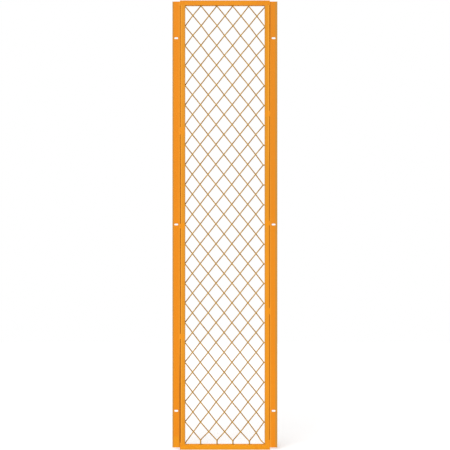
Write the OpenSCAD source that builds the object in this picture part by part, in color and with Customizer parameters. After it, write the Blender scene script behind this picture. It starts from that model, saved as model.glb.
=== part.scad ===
// Machine guard fence panel: woven diamond wire mesh held in a frame of steel
// channel, with a slotted flange down each side that bolts to a guard post.
//
// Units are millimetres. X runs across the panel, Y runs from front to back
// and Z is up. The origin lies on the back face of the left flange, on its
// centreline, midway between its lower and middle slots.

/* [Frame] */
// width of the channel frame between its outer faces, without the flanges
frame_width = 304.8; // [150:0.1:450]
// height of the channel frame
frame_height = 1524; // [900:0.1:2200]
// depth of the channel legs, which is the width of each face seen from the front
channel_leg = 17.46; // [12:0.01:32]
// thickness of the channel sheet
channel_wall = 1.9; // [1:0.1:4]
// inside radius of the two channel bends
bend_inside_radius = 1.1; // [0.3:0.1:3]

/* [Mounting flanges] */
// width of each flange bar
flange_width = 25.4; // [18:0.1:60]
// thickness of each flange bar
flange_thickness = 3.2; // [2:0.1:8]
// distance of the upper flange ends below the top of the frame
flange_top_setback = 4.7; // [0:0.1:60]
// distance of the lower flange ends above the bottom of the frame
flange_bottom_setback = 8; // [0:0.1:60]
// distance from each end of a flange to the middle of its end slot
slot_end = 123.85; // [20:0.05:300]
// overall length of a slot, across the panel
slot_length = 14; // [9:0.1:18]
// width of a slot, which takes the bolt
slot_width = 7; // [5:0.1:12]

/* [Woven wire mesh] */
// diameter of the mesh wire
wire_diameter = 3.43; // [2:0.01:6]
// width of one diamond between wire centres
diamond_width = 54.2; // [36:0.1:120]
// height of one diamond between wire centres
diamond_height = 67.25; // [46:0.05:140]
// distance the whole mesh lies to the left of the middle of the frame
mesh_offset = 2.7; // [0:0.1:6]
// distance the leftmost column of crossings is pressed in, toward the middle
left_press = 2.9; // [0:0.1:5]
// distance from the lip of the top rail down to the first row of crossings
first_row_drop = 0.8; // [0:0.1:10]
// height above their row at which the lowest pairs of wires come together
pair_rise = 5; // [0:0.1:12]
// length of wire on each side of an edge crossing that its bend takes up
edge_bend = 3; // [1:0.1:6]
// play between two wires where they cross
crossing_clearance = 0.3; // [0.1:0.05:1]
// play between the mesh and the inside of the channel
seat_clearance = 0.3; // [0.1:0.05:1]

/* [Welds] */
// length of the weld at the middle of each flange
stitch_length = 15.6; // [8:0.1:40]
// distance of the left weld below the middle slot
left_stitch_drop = 5.4; // [0:0.1:60]
// distance of the right weld above the middle slot
right_stitch_rise = 4.4; // [0:0.1:60]
// height of the weld crown above the front face
weld_crown = 0.6; // [0.2:0.1:1.5]
// width of the weld that laps over the flange and over the stile
weld_lap = 1; // [0:0.1:3]
// size of the weld in each inner corner of the frame
corner_weld_size = 4; // [2:0.1:8]

/* [Finish] */
// colour of the powder coat
coat_colour = [0.93, 0.56, 0.15]; // [0:0.01:1]
// colour of the coated wire
wire_colour = [0.64, 0.49, 0.13]; // [0:0.01:1]

/* [Hidden] */
$fn = 48;
sides = 6;

// a six-sided wire has the section area of the round wire at this corner radius
wire_corner = wire_diameter / 2 * sqrt(2 * PI / (sides * sin(360 / sides)));
wire_lift = wire_corner + crossing_clearance / 2;
mesh_thickness = 2 * (wire_lift + wire_corner);
channel_gap = mesh_thickness + 2 * seat_clearance;
channel_depth = channel_gap + 2 * channel_wall;
bend_radius = bend_inside_radius + channel_wall;

front = -flange_thickness;
mesh_middle = front + channel_depth / 2;

flange_length = frame_height - flange_top_setback - flange_bottom_setback;
slot_pitch = flange_length / 2 - slot_end;
flange_bottom = -slot_end - slot_pitch / 2;
middle_slot = slot_pitch / 2;
frame_left = flange_width / 2;
frame_right = frame_left + frame_width;
frame_bottom = flange_bottom - flange_bottom_setback;
frame_top = frame_bottom + frame_height;
stile_height = frame_height - 2 * channel_leg;

opening_width = frame_width - 2 * channel_leg;
// half diamonds that fit across and down; the edge crossings may lie behind the lips
columns = 2 * floor((opening_width + channel_leg - bend_radius) / diamond_width);
rows = 2 * floor((stile_height - first_row_drop) / diamond_height);
column_pitch = diamond_width / 2;
row_pitch = diamond_height / 2;
// share of the press that each column hands on to the next
press_share = 0.4;

seat = channel_wall + seat_clearance;
seat_left = frame_left + seat;
seat_right = frame_right - seat;
seat_top = frame_top - seat;
seat_bottom = frame_bottom + seat;

// ---- where the wires cross ----

function pressed(i) = left_press * pow(press_share, i);
function even_x(i) = (frame_left + frame_right) / 2 - mesh_offset + (i - columns / 2) * column_pitch;
function column_x(i) = even_x(i) + pressed(i);
function row_z(j) = frame_top - channel_leg - first_row_drop - j * row_pitch;
function on_side(i) = i == 0 || i == columns;

// height of a crossing; the pairs along the bottom come together a little early
function crossing_z(i, j) = row_z(j) + (j == rows && !on_side(i) ? pair_rise : 0);

// where a wire stops inside the channel it enters
function seat_point(i, j) =
  i == 0 ? [seat_left, row_z(j)]
  : i == columns ? [seat_right, row_z(j)]
  : [column_x(i), j == 0 ? seat_top : seat_bottom];

function crossing(i, j) = [column_x(i), crossing_z(i, j)];
function toward(a, b, length) = a + (b - a) / norm(b - a) * length;

// a wire falls one row at each crossing and steps right (+1) or left (-1)
function steps(i, j, way) = min(way > 0 ? columns - i : i, rows - j);

// points along a wire: its end in the channel, its bend, each crossing, and so out again
function wire_line(i, j, way) =
  let (
    n = steps(i, j, way),
    from = crossing(i, j),
    to = crossing(i + way * n, j + n),
    from_seat = seat_point(i, j),
    to_seat = seat_point(i + way * n, j + n)
  )
  concat(
    [from_seat, toward(from, from_seat, edge_bend), toward(from, crossing(i + way, j + 1), edge_bend)],
    [for (k = [1:1:n - 1]) crossing(i + way * k, j + k)],
    [toward(to, crossing(i + way * (n - 1), j + n - 1), edge_bend), toward(to, to_seat, edge_bend), to_seat]
  );

// the wires that fall to the right pass in front at even columns, the others at odd ones
function wire_depths(i, j, way) =
  let (n = steps(i, j, way), lift = wire_lift * way)
  concat(
    [-lift, -lift, -lift],
    [for (k = [1:1:n - 1]) (i + k) % 2 == 0 ? -lift : lift],
    [-lift, -lift, -lift]
  );

// ---- one crimped wire ----

function unit(v) = v / norm(v);

// direction across the wire at one of its points, long enough to keep the wire's width in a bend
function across(line, k) =
  let (
    before = unit(line[max(k, 1)] - line[max(k, 1) - 1]),
    after = unit(line[min(k + 1, len(line) - 1)] - line[min(k, len(line) - 2)]),
    middle = unit(before + after),
    stretch = middle * after
  )
  [-middle[1], middle[0]] / stretch;

function ring(line, depths, k) =
  let (side = across(line, k))
  [for (s = [0:sides - 1])
    let (
      turn = 360 * (s + 0.5) / sides,
      flat = line[k] + side * wire_corner * cos(turn)
    )
    [flat[0], mesh_middle + depths[k] + wire_corner * sin(turn), flat[1]]];

// corners of the wire's section at every point of its line, joined by flat faces
module crimped_wire(i, j, way) {
  line = wire_line(i, j, way);
  depths = wire_depths(i, j, way);
  final = len(line) - 1;
  polyhedron(
    points = [for (k = [0:final]) each ring(line, depths, k)],
    faces = concat(
      [[for (s = [0:sides - 1]) s]],
      [[for (s = [sides - 1:-1:0]) s + final * sides]],
      [for (k = [0:final - 1], s = [0:sides - 1])
        let (next = (s + 1) % sides)
        [s + k * sides, s + (k + 1) * sides, next + (k + 1) * sides, next + k * sides]]
    )
  );
}

module woven_wire_mesh() {
  color(wire_colour)
    union() {
      for (i = [0:2:columns - 2])
        crimped_wire(i, 0, 1);
      for (i = [2:2:columns])
        crimped_wire(i, 0, -1);
      for (j = [2:2:rows - 2]) {
        crimped_wire(0, j, 1);
        crimped_wire(columns, j, -1);
      }
    }
}

// ---- channel frame ----

// what a round corner at the origin lacks from a square one
module corner_fillet(radius) {
  difference() {
    square(radius);
    translate([radius, radius])
      circle(radius);
  }
}

module at_both_edges(height) {
  children();
  translate([0, height])
    mirror([0, 1])
      children();
}

// channel section: the web lies along the second axis and the legs point along the first
module channel_section() {
  difference() {
    square([channel_leg, channel_depth]);
    at_both_edges(channel_depth)
      corner_fillet(bend_radius);
    translate([channel_wall, channel_wall])
      difference() {
        square([channel_leg, channel_gap]);
        at_both_edges(channel_gap)
          corner_fillet(bend_inside_radius);
      }
  }
}

module stile_channel() {
  color(coat_colour)
    linear_extrude(height = stile_height)
      channel_section();
}

module left_stile_channel() {
  translate([frame_left, front, frame_bottom + channel_leg])
    stile_channel();
}

module right_stile_channel() {
  translate([frame_right, front, frame_bottom + channel_leg])
    mirror([1, 0, 0])
      stile_channel();
}

// rail with its web at the bottom and its legs pointing up
module rail_channel() {
  color(coat_colour)
    rotate([0, -90, 0])
      translate([0, 0, -frame_width])
        linear_extrude(height = frame_width)
          channel_section();
}

module bottom_rail_channel() {
  translate([frame_left, front, frame_bottom])
    rail_channel();
}

module top_rail_channel() {
  translate([frame_left, front, frame_top])
    mirror([0, 0, 1])
      rail_channel();
}

// ---- mounting flanges ----

module slot_outline() {
  reach = (slot_length - slot_width) / 2;
  square([2 * reach, slot_width], center = true);
  for (x = [-reach, reach])
    translate([x, 0])
      circle(d = slot_width);
}

// flange bar seen from the front, centred on its own width, from its lower end up
module flange_outline() {
  difference() {
    translate([-flange_width / 2, 0])
      square([flange_width, flange_length]);
    for (k = [0:2])
      translate([0, slot_end + k * slot_pitch])
        slot_outline();
  }
}

module mounting_flange() {
  color(coat_colour)
    rotate([90, 0, 0])
      linear_extrude(height = flange_thickness)
        flange_outline();
}

module left_mounting_flange() {
  translate([0, 0, flange_bottom])
    mounting_flange();
}

module right_mounting_flange() {
  translate([frame_width + flange_width, 0, flange_bottom])
    mounting_flange();
}

// ---- welds ----

// low round cap on a face, from the origin along the first axis
module weld_cap(width, height) {
  radius = (width * width / 4 + height * height) / (2 * height);
  intersection() {
    translate([width / 2, radius - height])
      circle(radius);
    translate([0, -height])
      square([width, height]);
  }
}

// fills the groove between the flange edge and the round channel bend, under a low cap
module groove_section() {
  difference() {
    square([bend_radius, min(bend_radius, flange_thickness)]);
    translate([bend_radius, bend_radius])
      circle(bend_radius);
  }
  translate([-weld_lap, 0])
    weld_cap(bend_radius + 2 * weld_lap, weld_crown);
}

module stitch_weld() {
  color(coat_colour)
    translate([0, 0, -stitch_length / 2])
      linear_extrude(height = stitch_length)
        groove_section();
}

module left_flange_weld() {
  translate([frame_left, front, middle_slot - left_stitch_drop])
    stitch_weld();
}

module right_flange_weld() {
  translate([frame_right, front, middle_slot + right_stitch_rise])
    mirror([1, 0, 0])
      stitch_weld();
}

// weld where the lips of a stile and a rail meet, on the front and on the back leg
module corner_weld() {
  color(coat_colour)
    for (y = [front, front + channel_depth - channel_wall])
      translate([0, y + channel_wall, 0])
        rotate([90, 0, 0])
          linear_extrude(height = channel_wall)
            corner_fillet(corner_weld_size);
}

module bottom_left_corner_weld() {
  translate([frame_left + channel_leg, 0, frame_bottom + channel_leg])
    corner_weld();
}

module bottom_right_corner_weld() {
  translate([frame_right - channel_leg, 0, frame_bottom + channel_leg])
    mirror([1, 0, 0])
      corner_weld();
}

module top_left_corner_weld() {
  translate([frame_left + channel_leg, 0, frame_top - channel_leg])
    mirror([0, 0, 1])
      corner_weld();
}

module top_right_corner_weld() {
  translate([frame_right - channel_leg, 0, frame_top - channel_leg])
    mirror([0, 0, 1])
      mirror([1, 0, 0])
        corner_weld();
}

left_stile_channel();
right_stile_channel();
top_rail_channel();
bottom_rail_channel();
left_mounting_flange();
right_mounting_flange();
woven_wire_mesh();
left_flange_weld();
right_flange_weld();
top_left_corner_weld();
top_right_corner_weld();
bottom_left_corner_weld();
bottom_right_corner_weld();
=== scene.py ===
import math
import random
import bpy
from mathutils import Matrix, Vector


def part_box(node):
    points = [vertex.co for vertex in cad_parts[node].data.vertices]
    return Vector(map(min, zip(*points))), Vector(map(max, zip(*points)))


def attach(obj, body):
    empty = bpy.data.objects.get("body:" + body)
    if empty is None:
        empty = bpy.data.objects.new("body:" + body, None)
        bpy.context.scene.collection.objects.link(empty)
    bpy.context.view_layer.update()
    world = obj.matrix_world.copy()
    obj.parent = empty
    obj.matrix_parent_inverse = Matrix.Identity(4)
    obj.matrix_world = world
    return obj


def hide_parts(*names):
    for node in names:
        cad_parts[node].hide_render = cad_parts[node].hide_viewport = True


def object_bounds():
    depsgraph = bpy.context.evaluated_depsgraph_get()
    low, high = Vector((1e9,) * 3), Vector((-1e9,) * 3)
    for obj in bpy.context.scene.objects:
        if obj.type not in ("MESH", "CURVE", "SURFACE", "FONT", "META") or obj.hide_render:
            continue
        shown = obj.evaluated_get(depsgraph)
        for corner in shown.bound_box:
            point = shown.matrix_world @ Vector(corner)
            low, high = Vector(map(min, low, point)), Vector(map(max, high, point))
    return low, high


# Machine guard fence panel. The channels and flanges are the CAD's own, and get their coat here.
# Round wires and rippled welds replace the plain ones. Six small stitch welds and the rolled edge
# of the coat in the slots are added.

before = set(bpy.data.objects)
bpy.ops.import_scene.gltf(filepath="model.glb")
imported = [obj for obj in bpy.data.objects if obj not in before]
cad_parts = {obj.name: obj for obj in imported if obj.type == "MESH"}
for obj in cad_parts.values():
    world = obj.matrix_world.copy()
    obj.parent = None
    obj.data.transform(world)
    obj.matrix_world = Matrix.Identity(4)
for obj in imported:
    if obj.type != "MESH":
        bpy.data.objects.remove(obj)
cad_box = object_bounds()
floor_z = cad_box[0][2]
scene = bpy.context.scene
MM = 0.001

# ---- sizes of the CAD source, in metres ----
flange_width = 25.4 * MM
flange_rise = 1.65 * MM     # from the middle of the frame up to the middle of the flanges
slot_length, slot_width = 14 * MM, 7 * MM
slot_pitch = 631.8 * MM
frame_width = 304.8 * MM
frame_height = 1524 * MM
leg = 17.46 * MM
wall = 1.9 * MM
bend_radius = 3.0 * MM
wire = 3.43 * MM
diamond_w, diamond_h = 54.2 * MM, 67.25 * MM
mesh_offset = 2.7 * MM
left_press, press_share = 2.9 * MM, 0.4
first_row_drop = 0.8 * MM
pair_rise = 5 * MM
columns, rows = 10, 44

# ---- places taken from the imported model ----
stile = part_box("left_stile_channel")
front, back = stile[0][1], stile[1][1]
mesh_y = (front + back) / 2
frame_left = stile[0][0]
frame_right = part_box("right_stile_channel")[1][0]
frame_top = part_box("top_rail_channel")[1][2]
frame_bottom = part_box("bottom_rail_channel")[0][2]
mid_x = (frame_left + frame_right) / 2
mid_z = (frame_top + frame_bottom) / 2
half_width, half_height = frame_width / 2, frame_height / 2
flange_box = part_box("left_mounting_flange")
flange_foot = flange_box[0][2]
flange_middle = (flange_box[0][1] + flange_box[1][1]) / 2
slot_x = (frame_width + flange_width) / 2
slot_heights = [mid_z + flange_rise + k * slot_pitch for k in (-1, 0, 1)]

# ---- stitch welds between the flanges and the stiles ----
# The middle one of each side stands for a CAD node: name, node, side (-1 left, 1 right), seed.
MIDDLE_STITCHES = (
    ("left_flange_bead", "left_flange_weld", -1, 3),
    ("right_flange_bead", "right_flange_weld", 1, 4),
)
# The smaller ones, near the quarter heights and at the feet of the flanges, are only here: name,
# side, lower end, length.
SMALL_STITCHES = (
    ("left_upper_stitch", -1, mid_z + 306 * MM, 25 * MM),
    ("left_lower_stitch", -1, mid_z - 387 * MM, 18 * MM),
    ("right_upper_stitch", 1, mid_z + 368 * MM, 20 * MM),
    ("right_lower_stitch", 1, mid_z - 302 * MM, 20 * MM),
    ("left_foot_stitch", -1, flange_foot, 16 * MM),
    ("right_foot_stitch", 1, flange_foot, 26 * MM),
)

# ---- camera: square on, level with the middle of the panel ----
VIEW_SPAN = frame_height * 1500 / 1499    # what the square picture takes in at the panel's front
AIM_RIGHT, AIM_DOWN = 0.23722 * MM, 0.06778 * MM    # how far the view lies off the panel's middle
DISTANCE = 2.8
SENSOR = 36
cam_data = bpy.data.cameras.new("camera")
cam = bpy.data.objects.new("camera", cam_data)
scene.collection.objects.link(cam)
cam.location = (mid_x + AIM_RIGHT, front - DISTANCE, mid_z - AIM_DOWN)
cam.rotation_euler = (math.pi / 2, 0, 0)
cam_data.sensor_width = SENSOR
cam_data.lens = SENSOR * DISTANCE / VIEW_SPAN
cam_data.clip_end = 60
scene.camera = cam


# ---- materials ----
class Tree:
    """Short names for the nodes of one material."""

    def __init__(self, name):
        self.mat = bpy.data.materials.new(name)
        self.mat.use_nodes = True
        self.nodes, self.links = self.mat.node_tree.nodes, self.mat.node_tree.links
        self.shader = self.nodes["Principled BSDF"]
        self.pos = self.nodes.new("ShaderNodeTexCoord").outputs["Object"]
        split = self.nodes.new("ShaderNodeSeparateXYZ")
        self.links.new(self.pos, split.inputs[0])
        self.axis = dict(zip("xyz", split.outputs))

    def noise(self, scale, detail=3.0, roughness=0.5, stretch=None):
        t = self.nodes.new("ShaderNodeTexNoise")
        t.inputs["Scale"].default_value = scale
        t.inputs["Detail"].default_value = detail
        t.inputs["Roughness"].default_value = roughness
        source = self.pos
        if stretch:
            m = self.nodes.new("ShaderNodeMapping")
            m.inputs["Scale"].default_value = stretch
            self.links.new(self.pos, m.inputs["Vector"])
            source = m.outputs["Vector"]
        self.links.new(source, t.inputs["Vector"])
        return t.outputs["Fac"]

    def math(self, op, a, b=None):
        m = self.nodes.new("ShaderNodeMath")
        m.operation = op
        for k, v in enumerate((a, b)):
            if v is None:
                continue
            if isinstance(v, (int, float)):
                m.inputs[k].default_value = v
            else:
                self.links.new(v, m.inputs[k])
        return m.outputs[0]

    def times(self, *values):
        product = values[0]
        for v in values[1:]:
            product = self.math("MULTIPLY", product, v)
        return product

    def spread(self, value, a, b, to_a, to_b):
        """Takes a..b smoothly to to_a..to_b."""
        r = self.nodes.new("ShaderNodeMapRange")
        r.interpolation_type = "SMOOTHSTEP"
        for key, v in zip(("From Min", "From Max", "To Min", "To Max"), (a, b, to_a, to_b)):
            r.inputs[key].default_value = v
        self.links.new(value, r.inputs["Value"])
        return r.outputs["Result"]

    def ramp(self, value, stops):
        r = self.nodes.new("ShaderNodeValToRGB")
        for k, (place, colour) in enumerate(stops):
            e = r.color_ramp.elements[k] if k < 2 else r.color_ramp.elements.new(place)
            e.position, e.color = place, (*colour, 1)
        self.links.new(value, r.inputs["Fac"])
        return r.outputs["Color"]

    def blend(self, a, b, factor=1.0, kind="MIX"):
        m = self.nodes.new("ShaderNodeMix")
        m.data_type, m.blend_type = "RGBA", kind
        for socket, v in ((m.inputs[0], factor), (m.inputs[6], a), (m.inputs[7], b)):
            if isinstance(v, (int, float)):
                socket.default_value = v
            elif isinstance(v, tuple):
                socket.default_value = (*v, 1)
            else:
                self.links.new(v, socket)
        return m.outputs[2]

    def across(self, axis, middle):
        """Distance from a middle plane along one axis."""
        return self.math("ABSOLUTE", self.math("SUBTRACT", self.axis[axis], middle))

    def line(self, distance, centre, half, soft, strength):
        """A soft-edged stripe: strength inside, nothing outside."""
        off = self.math("ABSOLUTE", self.math("SUBTRACT", distance, centre))
        return self.spread(off, half, half + soft, strength, 0.0)

    def on_side(self, side, strength=1.0):
        """Strength on one side of the panel (-1 left, 1 right), nothing on the other."""
        return self.spread(self.axis["x"], mid_x - side * MM, mid_x + side * MM, 0.0, strength)


# How many cells of noise the patterns of the coat and of its painted shade have in a metre.
DRIFT_SCALE, CREASE_SHADE_SCALE, GLOSS_SCALE, EDGE_SHADING_SCALE = 6, 9, 24, 60
MOTTLE_SCALE, SPECK_SCALE, PEEL_SCALE = 150, 430, 620
PEEL_DEPTH = 0.4 * MM


def coat(name, colour, deep, rough=0.42, specular=0.2, peel=0.12, marks=()):
    """Powder coat: slow colour drift, fine speckle, orange-peel bump, uneven gloss, and marks."""
    t = Tree(name)
    shader = t.shader
    shader.inputs["Specular IOR Level"].default_value = specular
    tone = t.ramp(t.noise(DRIFT_SCALE, 4, stretch=(1.0, 1.0, 0.5)), [(0.34, deep), (0.66, colour)])
    speck = t.ramp(t.noise(SPECK_SCALE, 2, 0.6), [(0.3, (0.94, 0.9, 0.84)), (0.5, (1.0, 1.0, 1.0))])
    tone = t.blend(tone, speck, 1.0, "MULTIPLY")
    for mark in marks:
        tone = mark(t, tone)
    t.links.new(tone, shader.inputs["Base Color"])
    gloss = t.spread(t.noise(GLOSS_SCALE), 0.3, 0.7, rough - 0.06, rough + 0.08)
    t.links.new(gloss, shader.inputs["Roughness"])
    bump = t.nodes.new("ShaderNodeBump")
    bump.inputs["Strength"].default_value = peel
    bump.inputs["Distance"].default_value = PEEL_DEPTH
    t.links.new(t.noise(PEEL_SCALE, 2, 0.4), bump.inputs["Height"])
    t.links.new(bump.outputs["Normal"], shader.inputs["Normal"])
    return t.mat


# Colours of the marks. The brown and groove colours are painted shade, the pale one a painted
# highlight, and the two tints for the inside of the channels painted light.
BROWN_SHADE = (0.56, 0.27, 0.045)
RICH = (0.93, 0.315, 0.003)
PALE_HIGHLIGHT = (0.95, 0.40, 0.035)
GROOVE_SHADE = (0.42, 0.108, 0.001)
MOTTLE = (0.80, 0.225, 0.003)
INSIDE_LIGHT_LOW, INSIDE_LIGHT_HIGH = (0.98, 0.43, 0.03), (1.0, 0.66, 0.18)
RUBBED = (0.72, 0.42, 0.06)


# Each mark below gives a function that lays its own shade over the coat's tone so far.
def edge_light_and_shade(axis, middle, place, half, tint, strength):
    """Paints a band along an edge: painted shade with a dark tint, a painted highlight with a pale one.
    """
    def mark(t, tone):
        mask = t.line(t.across(axis, middle), place, half, 1.2 * MM, strength)
        uneven = t.spread(t.noise(EDGE_SHADING_SCALE), 0.25, 0.6, 0.7, 1.0)
        return t.blend(tone, tint, t.times(mask, uneven))
    return mark


def groove_shade(side, reach, upper, lower, bow=0.0, crown=1.0):
    """Painted shade in the groove between one flange and the round bend of its stile.

    It starts reach in from the stile's outer edge, and bow more round a place a little below the
    middle. Its strength is lower, then upper from some way above the middle, with a last change by
    the factor crown near the top.
    """
    def mark(t, tone):
        height = t.math("SUBTRACT", t.axis["z"], mid_z)
        below = t.math("ABSOLUTE", t.math("ADD", height, 110 * MM))
        distance = t.math("ADD", t.across("x", mid_x), t.spread(below, 150 * MM, 330 * MM, bow, 0.0))
        outer = t.spread(distance, half_width - reach, half_width - reach + 1.1 * MM, 0.0, 1.0)
        deep = t.spread(t.axis["y"], front - 0.1 * MM, front + 0.2 * MM, 0.3, 1.0)
        shallow = t.spread(t.axis["y"], front + 3.0 * MM, front + 4.5 * MM, 1.0, 0.0)
        uneven = t.spread(t.noise(CREASE_SHADE_SCALE, 4, stretch=(1.0, 1.0, 0.8)), 0.35, 0.6, 0.8, 1.0)
        strength = t.times(
            t.on_side(side),
            t.spread(height, 350 * MM, 150 * MM, upper, lower),
            t.spread(height, 520 * MM, 660 * MM, 1.0, crown),
        )
        return t.blend(tone, GROOVE_SHADE, t.times(outer, deep, shallow, uneven, strength))
    return mark


def seam_shade(side, z_from, z_to, strength):
    """Painted shade on a flange where it meets its stile, coming in between two heights."""
    def mark(t, tone):
        band = t.line(t.across("x", mid_x), half_width + 1.0 * MM, 1.6 * MM, 1.4 * MM, strength)
        height = t.spread(t.axis["z"], z_from, z_to, 0.0, 1.0)
        return t.blend(tone, GROOVE_SHADE, t.times(t.on_side(side), band, height))
    return mark


def groove_light(side, place, upper, lower):
    """The steel beside the groove catches the light: strength lower, and upper above the middle."""
    def mark(t, tone):
        band = t.line(t.across("x", mid_x), place, 0.9 * MM, 1.2 * MM, 1.0)
        strength = t.spread(t.axis["z"], mid_z + 150 * MM, mid_z + 300 * MM, lower, upper)
        return t.blend(tone, PALE_HIGHLIGHT, t.times(t.on_side(side), band, strength))
    return mark


def stitch_glow(side, z_low, length, strength):
    """Redder, brighter orange on the stile beside a stitch weld."""
    def mark(t, tone):
        band = t.line(t.across("x", mid_x), half_width - 6 * MM, 8 * MM, 3 * MM, 1.0)
        height = t.line(t.axis["z"], z_low + length / 2, length / 2 - 4 * MM, 9 * MM, 1.0)
        return t.blend(tone, RICH, t.times(t.on_side(side, strength), band, height))
    return mark


def slot_rim_shade(strength):
    """Painted shade, brown, round the rims of the slots."""
    def mark(t, tone):
        aside = t.math("ABSOLUTE", t.math("SUBTRACT", t.across("x", mid_x), slot_x))
        straight = (slot_length - slot_width) / 2
        dx = t.math("MAXIMUM", t.math("SUBTRACT", aside, straight), 0.0)
        gaps = []
        for z in slot_heights:
            dz = t.math("SUBTRACT", t.axis["z"], z)
            gaps.append(t.math("SQRT", t.math("ADD", t.times(dx, dx), t.times(dz, dz))))
        gap = t.math("MINIMUM", t.math("MINIMUM", gaps[0], gaps[1]), gaps[2])
        rim = slot_width / 2
        return t.blend(tone, BROWN_SHADE, t.spread(gap, rim + 0.4 * MM, rim + 1.7 * MM, strength, 0.0))
    return mark


def flange_edge_shade(left_half, right_half, strength):
    """Painted shade, brown, along the outer edges of the flanges; the right band is a little wider."""
    def mark(t, tone):
        half = t.spread(t.axis["x"], mid_x - 1 * MM, mid_x + 1 * MM, left_half, right_half)
        off = t.math("SUBTRACT", half_width + flange_width, t.across("x", mid_x))
        past = t.math("SUBTRACT", off, half)
        uneven = t.spread(t.noise(EDGE_SHADING_SCALE), 0.25, 0.6, 0.75, 1.0)
        return t.blend(tone, BROWN_SHADE, t.times(t.spread(past, 0.0, 1.3 * MM, strength, 0.0), uneven))
    return mark


def height_tone(z_from, z_to, tint, strength):
    """A slow change of shade with height."""
    def mark(t, tone):
        return t.blend(tone, tint, t.spread(t.axis["z"], z_from, z_to, 0.0, strength))
    return mark


def side_tone(side, z_from, z_to, tint, strength):
    """A slow change of shade with height, on one side only."""
    def mark(t, tone):
        height = t.spread(t.axis["z"], z_from, z_to, 0.0, 1.0)
        return t.blend(tone, tint, t.times(t.on_side(side, strength), height))
    return mark


def inside_painted_light(strength):
    """Painted light on the inner face of the back leg, where the front leg shades it; palest on the top
    rail.
    """
    def mark(t, tone):
        upper = t.spread(t.axis["z"], mid_z - 1 * MM, mid_z + 1 * MM, 0.0, 1.0)
        lit_tint = t.blend(INSIDE_LIGHT_LOW, INSIDE_LIGHT_HIGH, upper)
        return t.blend(tone, lit_tint, t.line(t.axis["y"], back - wall, 0.5 * MM, 0.4 * MM, strength))
    return mark


def weld_heat(strength):
    """Mottled coat on the rails near the corner welds."""
    def mark(t, tone):
        corner = half_width - leg
        near = t.spread(t.across("x", mid_x), corner - 52 * MM, corner - 30 * MM, 0.0, 1.0)
        patch = t.spread(t.noise(MOTTLE_SCALE, 2, 0.4), 0.42, 0.6, 0.0, strength)
        return t.blend(tone, MOTTLE, t.times(near, patch))
    return mark


def crown_wear(strength):
    """The coat is rubbed paler on the crowns of the wires, where they pass over at the front."""
    def mark(t, tone):
        proud = t.spread(t.axis["y"], mesh_y - 2.0 * MM, mesh_y - 3.4 * MM, 0.0, strength)
        return t.blend(tone, RUBBED, proud)
    return mark


# On the stiles: painted shade in the grooves and along the lips, and painted highlights beside the
# grooves.
frame_marks = (
    side_tone(1, mid_z + 150 * MM, mid_z - 150 * MM, tint=(0.93, 0.318, 0.008), strength=0.45),
    side_tone(1, mid_z - 600 * MM, mid_z - 660 * MM, tint=(0.79, 0.298, 0.013), strength=0.5),
    groove_light(-1, half_width - 5.0 * MM, upper=0.6, lower=0.8),
    groove_light(1, half_width - 5.0 * MM, upper=0.85, lower=0.1),
    edge_light_and_shade("x", mid_x, half_width - leg, 2.4 * MM, BROWN_SHADE, 0.5),
    *[stitch_glow(side, z, length, 0.5) for _, side, z, length in SMALL_STITCHES],
    stitch_glow(-1, mid_z - 14 * MM, 20 * MM, 0.8),
    stitch_glow(1, mid_z - 5 * MM, 22 * MM, 0.8),
    groove_shade(-1, reach=4.2 * MM, upper=0.5, lower=0.92),
    groove_shade(1, reach=3.6 * MM, upper=0.45, lower=0.6, bow=1.0 * MM, crown=0.2),
)
# On the rails: painted shade along their edges, and painted light on the inner face of the back leg.
rail_marks = (
    height_tone(mid_z + 100 * MM, mid_z - 100 * MM, tint=(0.905, 0.347, 0.005), strength=1.0),
    weld_heat(0.35),
    edge_light_and_shade("z", mid_z, half_height - leg + 2.6 * MM, 0.9 * MM, BROWN_SHADE, 0.12),
    inside_painted_light(0.9),
    edge_light_and_shade("z", mid_z, half_height - 3.8 * MM, 0.8 * MM, BROWN_SHADE, 0.3),
)
# On the flanges: painted highlights beside the grooves, and painted shade at the seams, the outer edges
# and round the slots.
flange_marks = (
    edge_light_and_shade("x", mid_x, half_width + 1.0 * MM, 2.6 * MM, PALE_HIGHLIGHT, 0.4),
    groove_light(1, half_width + 2.0 * MM, upper=0.0, lower=0.4),
    side_tone(1, frame_bottom - 200 * MM, frame_top, tint=(0.76, 0.255, 0.012), strength=0.6),
    side_tone(-1, flange_foot + 46 * MM, flange_foot + 28 * MM, tint=(0.88, 0.33, 0.006), strength=0.8),
    flange_edge_shade(3.8 * MM, 6.4 * MM, 0.85),
    seam_shade(-1, mid_z - 370 * MM, mid_z - 570 * MM, 0.68),
    seam_shade(1, mid_z + 560 * MM, mid_z + 680 * MM, 0.45),
    slot_rim_shade(0.6),
)
wire_marks = (crown_wear(0.7),)
stile_mat = coat("powder_coat_stile", (0.835, 0.318, 0.012), (0.805, 0.302, 0.010), marks=frame_marks)
rail_mat = coat("powder_coat_rail", (0.895, 0.310, 0.005), (0.865, 0.295, 0.004), marks=rail_marks)
flange_mat = coat("powder_coat_flange", (0.89, 0.282, 0.004), (0.86, 0.268, 0.004), marks=flange_marks)
wire_mat = coat("powder_coat_wire", (0.47, 0.232, 0.006), (0.43, 0.21, 0.006),
                rough=0.5, specular=0.12, marks=wire_marks)
weld_mat = coat("powder_coat_weld", (0.89, 0.308, 0.006), (0.85, 0.29, 0.005), rough=0.36, peel=0.25)

DRESS = {
    "left_stile_channel": stile_mat, "right_stile_channel": stile_mat,
    "top_rail_channel": rail_mat, "bottom_rail_channel": rail_mat,
    "left_mounting_flange": flange_mat, "right_mounting_flange": flange_mat,
    "woven_wire_mesh": wire_mat,
}
for name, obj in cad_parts.items():
    obj.data.materials.clear()
    obj.data.materials.append(DRESS.get(name, weld_mat))


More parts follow.
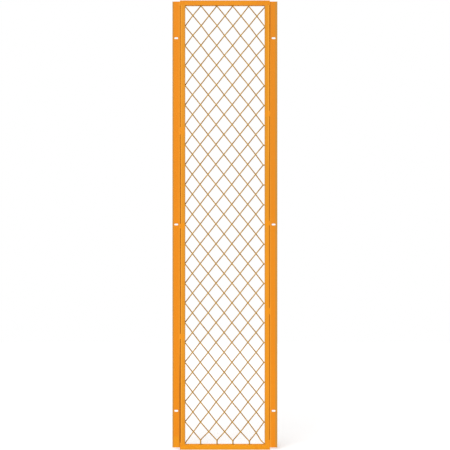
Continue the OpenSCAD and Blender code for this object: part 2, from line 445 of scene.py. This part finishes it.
# ---- pieces ----
def piece(name, verts, faces, mat, replaces=()):
    """Makes one smooth piece on the fixed body and the CAD nodes that it replaces."""
    mesh = bpy.data.meshes.new(name)
    mesh.from_pydata([tuple(v) for v in verts], [], faces)
    mesh.update()
    for face in mesh.polygons:
        face.use_smooth = True
    mesh.materials.append(mat)
    obj = bpy.data.objects.new(name, mesh)
    scene.collection.objects.link(obj)
    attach(obj, "root")
    if replaces:
        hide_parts(*replaces)


def skin(verts, faces, rings):
    """Joins equal rings of points into one closed skin with flat ends."""
    start, n = len(verts), len(rings[0])
    for ring in rings:
        verts.extend(ring)
    for k in range(len(rings) - 1):
        for s in range(n):
            a, b = start + k * n + s, start + k * n + (s + 1) % n
            faces.append((a, b, b + n, a + n))
    faces.append(tuple(start + s for s in range(n - 1, -1, -1)))
    faces.append(tuple(start + (len(rings) - 1) * n + s for s in range(n)))


def tube(verts, faces, path, radii, sides=10):
    """Sweeps a round section along a path; radii is one number or one for each point."""
    if not isinstance(radii, (list, tuple)):
        radii = [radii] * len(path)
    rings = []
    last = len(path) - 1
    for k, (p, r) in enumerate(zip(path, radii)):
        t = (path[min(k + 1, last)] - path[max(k - 1, 0)]).normalized()
        side = t.cross(Vector((0, 1, 0))).normalized()
        up = side.cross(t).normalized()
        turns = [2 * math.pi * s / sides for s in range(sides)]
        rings.append([p + r * (math.cos(a) * side + math.sin(a) * up) for a in turns])
    skin(verts, faces, rings)


# ---- the woven mesh: round crimped wires, over one and under the next ----
COATED = wire / 2 + 0.12 * MM    # radius with its coat
LIFT = COATED + 0.02 * MM        # height of a crown above the middle of the mesh
EDGE_BEND = 3.2 * MM             # length of wire on each side of an edge crossing that bends
BEND_ROOM = EDGE_BEND + 1 * MM   # keeps the points of the run clear of that bend
INSET = wall + 0.5 * MM          # the wires end this far inside the frame's outer edge
SPLAY = 0.45 * MM                # half of how far the two ends of a pair spread apart
PAIR_TILT = 0.7 * MM             # the pairs come together this much lower with each column
CORNER_BACK = 12 * MM            # the corner wire at the lower right bends this far before the edge
CORNER_RISE, CORNER_DROP = 0.49, 0.93    # its slopes up to that bend and from there to its seat
STRAY = 0.3                      # in millimetres, how far a crossing may stray at random


def wander(i, j):
    """How far a crossing strays from the even weave, to the right and down. Works in millimetres."""
    # Top and belly don't move the left edge, and move the next column half as far as the rest.
    share = min(i, 2) / 2
    # The upper rows lean to the right, the first one half as much.
    top = 4.6 * math.exp(-j / 5.5) * (0.5 if j == 0 else 1)
    # So do the lowest rows, and in the last one the pairs are unevenly spaced.
    foot = 2.2 * math.exp((j - rows) / 4.5)
    if j == rows and 0 < i < columns:
        foot += 0.4 * (i - 2) + 0.5 * math.cos(math.pi * i / 2)
    # The rows round row 17 bow to the left, most at the right side.
    belly = -1.3 * math.exp(-(((j - 17) / 4.5) ** 2)) * (0.5 + 0.5 * i / columns)
    right = share * (top + belly) + min(i, 1) * foot - 0.6
    # Just above the pairs, the outer columns are drawn toward the middle.
    if j < rows:
        right += 3.6 * math.cos(math.pi * i / columns) ** 3 * math.exp((j - rows) / 1.2)
    # Down, there is a slow wave, a tilt that dies away below the top, and a slight stretch.
    down = 0.9 * math.cos(2 * math.pi * (j - rows / 2) / 25)
    down += 0.27 * (i - columns / 2) * math.exp(-j / 7)
    down += 0.5 * (j / (rows / 2) - 1)
    # The row above the pairs is drawn up, except at the right.
    if j == rows - 1:
        down += 3.3 * math.exp(i - columns + 1) - 1.3
    # At the two edges the crossings sit lower toward the top. The lower left one is drawn in and
    # down, and the right edge bows more than its neighbours.
    lean = math.cos(math.pi * j / rows)
    if i == 0:
        down += 0.7 + 1.6 * lean
        if j == rows:
            right += 1.4
            down += 4.2
    elif i == columns:
        down += 1.7 + 1.4 * lean
        right += share * belly * 1.2
    if 0 < i < columns and 0 < j < rows:
        r = random.Random(100 * i + j)
        right += r.uniform(-STRAY, STRAY)
        down += r.uniform(-STRAY, STRAY)
    return right * MM, down * MM


def crossing(i, j):
    """Place of the crossing in column i and row j, at the middle of the mesh's thickness."""
    right, down = wander(i, j)
    x = mid_x - mesh_offset + (i - columns / 2) * diamond_w / 2 + left_press * press_share ** i + right
    z = frame_top - leg - first_row_drop - j * diamond_h / 2 - down
    if j == rows and 0 < i < columns:
        z += pair_rise + (columns / 2 - i) * PAIR_TILT
    if j == rows and i == columns:
        x, z = x - CORNER_BACK, z + CORNER_BACK * CORNER_RISE
    return Vector((x, 0, z))


def seat(i, j):
    """Where the wire that leaves an edge crossing ends, inside the channel."""
    c = crossing(i, j)
    if i == 0:
        return Vector((frame_left + INSET, 0, c.z))
    if i == columns:
        drop = CORNER_DROP * (frame_right - INSET - c.x) if j == rows else 0
        return Vector((frame_right - INSET, 0, c.z - drop))
    return Vector((c.x, 0, frame_top - INSET if j == 0 else frame_bottom + INSET))


def bend_arc(a, corner, b, reach, n=5):
    """Round bend from the line a-corner to the line corner-b."""
    p = corner + (a - corner).normalized() * reach
    q = corner + (b - corner).normalized() * reach
    steps = [k / n for k in range(n + 1)]
    return [p * (1 - t) ** 2 + corner * 2 * t * (1 - t) + q * t * t for t in steps]


def wire_path(i, j, way, count=9):
    """Middle line of the wire that starts at an edge crossing and runs down, way 1 right or -1 left."""
    n = min(columns - i if way > 0 else i, rows - j)
    nodes = [crossing(i + way * k, j + k) for k in range(n + 1)]
    signs = [(-1 if (i + way * k) % 2 == 0 else 1) * way for k in range(n + 1)]
    flat = [seat(i, j)] + bend_arc(seat(i, j), nodes[0], nodes[1], EDGE_BEND)
    depth = [signs[0] * LIFT] * len(flat)
    for k in range(n):
        a, b = nodes[k], nodes[k + 1]
        length = (b - a).length
        for c in range(count):
            t = c / count
            if k == 0 and t * length < BEND_ROOM:
                continue
            if k == n - 1 and (1 - t) * length < BEND_ROOM:
                continue
            s = 0.5 - 0.5 * math.cos(math.pi * t)
            flat.append(a.lerp(b, t))
            depth.append(LIFT * (signs[k] * (1 - s) + signs[k + 1] * s))
    end = seat(i + way * n, j + n)
    if j + n == rows:
        nodes[n] = nodes[n] - Vector((way * SPLAY, 0, 0))
        end = end - Vector((way * SPLAY, 0, 0))
    tail = bend_arc(nodes[n - 1], nodes[n], end, EDGE_BEND) + [end]
    flat += tail
    depth += [signs[n] * LIFT] * len(tail)
    return [Vector((p.x, mesh_y + d, p.z)) for p, d in zip(flat, depth)]


verts, faces = [], []
starts = [(i, 0, 1) for i in range(0, columns, 2)] + [(i, 0, -1) for i in range(2, columns + 1, 2)]
starts += [(0, j, 1) for j in range(2, rows, 2)] + [(columns, j, -1) for j in range(2, rows, 2)]
for start in starts:
    tube(verts, faces, wire_path(*start), COATED)
piece("round_woven_wires", verts, faces, wire_mat, replaces=("woven_wire_mesh",))

# ---- welds ----
SUNK = 0.06 * MM             # how far the rim of a stitch lies under the surface
STITCH_ROOT = 1.6 * MM       # how deep a stitch reaches into the groove
STITCH_RIPPLES = 7
BEAD_RADIUS = 1.15 * MM      # of a corner weld, before its lumps and taper
BEAD_IN = 0.4 * MM           # how deep in the steel the middle line of a corner weld ends
BEAD_BACK = 1.3 * MM         # how far in front of the back face that line runs on the back leg


def stitch_bead(name, side, z_low, length, seed, replaces=()):
    """Rippled bead that fills the groove between a flange and its stile."""
    r = random.Random(seed)
    edge = frame_left if side < 0 else frame_right
    rings = []
    n, arc = 64, 12
    for k in range(n + 1):
        t = k / n
        ends = min(1.0, math.sin(math.pi * min(max(t, 0.001), 0.999)) * 3.2)
        ripple = abs(math.sin(t * math.pi * STITCH_RIPPLES + 0.4))
        crown = (0.22 + 0.30 * ripple) * ends * MM
        lap = (0.55 + 0.35 * ripple + r.uniform(-0.08, 0.08)) * (0.35 + 0.65 * ends) * MM
        x0, x1 = -lap, bend_radius + lap
        ring = []
        for s in range(arc + 1):
            u = s / arc
            ring.append((x0 + (x1 - x0) * u, -crown * math.sin(math.pi * u) ** 0.8 - 0.01 * MM))
        ring += [(x1, SUNK), (bend_radius / 2, STITCH_ROOT), (x0, SUNK)]
        z = z_low + length * t
        rings.append([Vector((edge - side * x, front + y, z)) for x, y in ring])
    verts, faces = [], []
    skin(verts, faces, rings)
    piece(name, verts, faces, weld_mat, replaces=replaces)


for name, node, side, seed in MIDDLE_STITCHES:
    a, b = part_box(node)
    stitch_bead(name, side, a[2], b[2] - a[2], seed, replaces=(node,))
for name, side, z_low, length in SMALL_STITCHES:
    stitch_bead(name, side, z_low, length, 10 + len(name))


def corner_bead(name, node, sx, sz, size, seed):
    """Lumpy fillet in an inner corner of the frame, on the front and on the back leg.

    sx is 1 in a left corner and -1 in a right one, and sz is 1 in a lower one and -1 in an upper one.
    """
    r = random.Random(seed)
    cx = frame_left + leg if sx > 0 else frame_right - leg
    cz = frame_bottom + leg if sz > 0 else frame_top - leg
    verts, faces = [], []
    for y in (front + wall / 2, back - BEAD_BACK):
        path, radii = [], []
        n = 18
        for k in range(n + 1):
            t = k / n
            d = size * (1 - 0.55 * math.sin(math.pi * t))
            a = math.pi / 2 * t
            x = cx + sx * (d * math.cos(a) ** 2 - BEAD_IN)
            z = cz + sz * (d * math.sin(a) ** 2 - BEAD_IN)
            path.append(Vector((x, y, z)))
            lump = 0.85 + 0.18 * math.sin(t * math.pi * 5 + seed) + r.uniform(-0.05, 0.05)
            taper = 0.45 + 0.55 * math.sin(math.pi * (0.08 + 0.84 * t))
            radii.append(BEAD_RADIUS * lump * taper)
        tube(verts, faces, path, radii)
    piece(name, verts, faces, weld_mat, replaces=(node,))


corner_bead("top_left_corner_bead", "top_left_corner_weld", 1, -1, 3.4 * MM, seed=1)
corner_bead("top_right_corner_bead", "top_right_corner_weld", -1, -1, 3.8 * MM, seed=2)
corner_bead("bottom_left_corner_bead", "bottom_left_corner_weld", 1, 1, 4.2 * MM, seed=5)
corner_bead("bottom_right_corner_bead", "bottom_right_corner_weld", -1, 1, 5.0 * MM, seed=6)

# ---- the rolled edge of the coat inside the slots ----
ROLL = 0.5 * MM


def slot_roll(verts, faces, x, z, count=10, sides=8):
    """A slender ring of paint round the wall of one slot."""
    straight, r = (slot_length - slot_width) / 2, slot_width / 2
    path = []
    for way in (1, -1):
        for k in range(count + 1):
            a = math.pi * (k / count - 0.5) + (math.pi if way < 0 else 0)
            path.append((x + way * straight + r * math.cos(a), z + r * math.sin(a)))
    start, n = len(verts), len(path)
    for px, pz in path:
        cx = x + max(-straight, min(straight, px - x))
        out = Vector((px - cx, 0, pz - z)).normalized()
        for s in range(sides):
            a = 2 * math.pi * s / sides
            roll = math.cos(a) * out + math.sin(a) * Vector((0, 1, 0))
            verts.append(Vector((px, flange_middle, pz)) + ROLL * roll)
    for k in range(n):
        for s in range(sides):
            a, b = start + k * sides, start + (k + 1) % n * sides
            faces.append((a + s, a + (s + 1) % sides, b + (s + 1) % sides, b + s))


verts, faces = [], []
for x in (mid_x - slot_x, mid_x + slot_x):
    for z in slot_heights:
        slot_roll(verts, faces, x, z)
piece("slot_coat_edges", verts, faces, weld_mat)

# ---- stage: pale floor under a white surround ----
FLOOR_X, FLOOR_NEAR, FLOOR_FAR = 7.0, -7.0, 2.5
FLOOR_GREY = 0.85
FLOOR_GLOW = 0.265    # lifts the lit floor to the white of the surround, where it is seen
AMBIENT = 0.53        # light of the surround on the object; where it is seen it is white
floor_mesh = bpy.data.meshes.new("floor")
corners = [(-FLOOR_X, FLOOR_NEAR), (FLOOR_X, FLOOR_NEAR), (FLOOR_X, FLOOR_FAR), (-FLOOR_X, FLOOR_FAR)]
floor_mesh.from_pydata([(x, y, floor_z) for x, y in corners], [], [(0, 1, 2, 3)])
floor = bpy.data.objects.new("floor", floor_mesh)
scene.collection.objects.link(floor)
floor_mat = bpy.data.materials.new("floor_white")
floor_mat.use_nodes = True
floor_nodes, floor_links = floor_mat.node_tree.nodes, floor_mat.node_tree.links
floor_shader = floor_nodes["Principled BSDF"]
floor_shader.inputs["Base Color"].default_value = (FLOOR_GREY, FLOOR_GREY, FLOOR_GREY, 1)
floor_shader.inputs["Roughness"].default_value = 0.95
floor_shader.inputs["Specular IOR Level"].default_value = 0.05


def set_strength(tree, socket, cast, seen):
    """Sets a strength: seen for camera, glossy and transmission rays, cast for the light on things."""
    rays = tree.nodes.new("ShaderNodeLightPath")
    value = rays.outputs["Is Camera Ray"]
    for key in ("Is Glossy Ray", "Is Transmission Ray"):
        either = tree.nodes.new("ShaderNodeMath")
        either.operation = "MAXIMUM"
        tree.links.new(value, either.inputs[0])
        tree.links.new(rays.outputs[key], either.inputs[1])
        value = either.outputs[0]
    level = tree.nodes.new("ShaderNodeMapRange")
    level.inputs["To Min"].default_value = cast
    level.inputs["To Max"].default_value = seen
    tree.links.new(value, level.inputs["Value"])
    tree.links.new(level.outputs["Result"], socket)


glow = floor_nodes.new("ShaderNodeEmission")
set_strength(floor_mat.node_tree, glow.inputs["Strength"], 0.0, FLOOR_GLOW)
add = floor_nodes.new("ShaderNodeAddShader")
floor_links.new(floor_shader.outputs[0], add.inputs[0])
floor_links.new(glow.outputs[0], add.inputs[1])
floor_links.new(add.outputs[0], floor_nodes["Material Output"].inputs["Surface"])
floor_mesh.materials.append(floor_mat)

world = bpy.data.worlds.new("world")
scene.world = world
world.use_nodes = True
background = world.node_tree.nodes["Background"]
background.inputs["Color"].default_value = (1, 1, 1, 1)
set_strength(world.node_tree, background.inputs["Strength"], AMBIENT, 1.0)


def sun(name, toward, strength, angle):
    """Soft sun that stands in the direction toward; angle is its size in radians."""
    lamp = bpy.data.lights.new(name, "SUN")
    lamp.energy = strength
    lamp.angle = angle
    obj = bpy.data.objects.new(name, lamp)
    scene.collection.objects.link(obj)
    obj.rotation_euler = (-Vector(toward)).to_track_quat("-Z", "Y").to_euler()


sun("key", (-0.55, -1.0, 0.75), strength=1.6, angle=0.8)
sun("back_fill", (0.5, 1.0, 0.8), strength=0.7, angle=0.9)

scene.view_settings.view_transform = "Standard"
